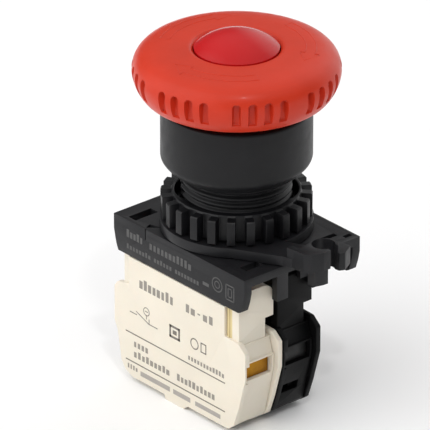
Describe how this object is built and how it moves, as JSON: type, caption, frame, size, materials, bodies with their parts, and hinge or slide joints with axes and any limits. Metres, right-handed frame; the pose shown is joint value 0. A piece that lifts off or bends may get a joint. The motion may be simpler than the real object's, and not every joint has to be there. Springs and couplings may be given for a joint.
{
  "type": "emergency stop button",
  "caption": "Panel-mounted red mushroom-head emergency stop button with a domed lamp lens, black bezel, toothed ring nut, clip-on base, switch block and lamp block.",
  "frame": {"origin": "on the button's axis, in the plane where the bezel's seal sits on the front of the panel", "axes": "+Z out of the front of the panel, towards the head; X across the row of blocks, with the free block place at +X; Y along the blocks, with the lock lever's tab at -Y"},
  "size_m": [0.041, 0.0474, 0.0773],
  "materials": {
    "red_plastic": "satin gloss",
    "red_lens": "clear dark red, polished",
    "clear_plastic": "clear, polished",
    "spring_steel": "bright wire",
    "black_plastic": "satin moulded",
    "base_plastic": "satin moulded",
    "natural_plastic": "satin moulded",
    "seal_rubber": "matte",
    "cream_plastic": "satin moulded",
    "actuator_plastic": "satin moulded",
    "contact_brass": "plain",
    "circuit_board": "lacquered",
    "lamp_plastic": "clear diffused",
    "screw_steel": "zinc plated"
  },
  "bodies": {
    "housing": {"return_spring": "spring_steel", "bezel_body": "black_plastic", "panel_gasket": "seal_rubber", "stem_seal": "seal_rubber", "neck_cap": "black_plastic", "mounting_base": "base_plastic", "switch_case": "cream_plastic", "switch_cover": "cream_plastic", "contact_spring": "spring_steel", "lamp_case": "base_plastic", "lamp_cover": "base_plastic", "lamp_board": "circuit_board", "lamp_bulb": "lamp_plastic", "switch_terminal_front": "contact_brass", "switch_clamp_front": "screw_steel", "switch_screw_front": "screw_steel", "switch_terminal_rear": "contact_brass", "switch_clamp_rear": "screw_steel", "switch_screw_rear": "screw_steel", "lamp_terminal_front": "contact_brass", "lamp_clamp_front": "screw_steel", "lamp_screw_front": "screw_steel", "lamp_terminal_rear": "contact_brass", "lamp_clamp_rear": "screw_steel", "lamp_screw_rear": "screw_steel"},
    "plunger": {"plunger_stem": "black_plastic", "stem_clip": "spring_steel", "latch_cam": "natural_plastic", "pusher_plate": "natural_plastic"},
    "head": {"mushroom_head": "red_plastic", "lens": "red_lens", "light_pipe": "clear_plastic"},
    "nut": {"ring_nut": "black_plastic"},
    "lever": {"lock_lever": "base_plastic"},
    "contact": {"contact_plunger": "actuator_plastic", "contact_bridge": "contact_brass"}
  },
  "joints": [
    {"name": "head_press", "type": "slide", "parent": "housing", "child": "plunger", "axis": [0, 0, -1], "range_m": [0, 0.0042], "stiffness_N_per_m": 2000, "springref_m": -0.004, "deforming": ["return_spring"]},
    {"name": "head_twist", "type": "hinge", "parent": "plunger", "child": "head", "pos_m": [0, 0, 0.02], "axis": [0, 0, -1], "range_deg": [0, 45], "stiffness_Nm_per_rad": 0.02},
    {"name": "contact_travel", "type": "slide", "parent": "housing", "child": "contact", "axis": [0, 0, -1], "range_m": [0, 0.0042], "stiffness_N_per_m": 200, "springref_m": -0.003, "deforming": ["contact_spring"]},
    {"name": "nut_turn", "type": "hinge", "parent": "housing", "child": "nut", "pos_m": [0, 0, -0.00775], "axis": [0, 0, 1], "continuous": true},
    {"name": "lever_turn", "type": "hinge", "parent": "housing", "child": "lever", "pos_m": [0, 0, -0.01185], "axis": [0, 0, 1], "range_deg": [0, 12]}
  ],
  "couplings": [
    {"joint": "contact_travel", "follows": "head_press", "ratio": 1}
  ]
}
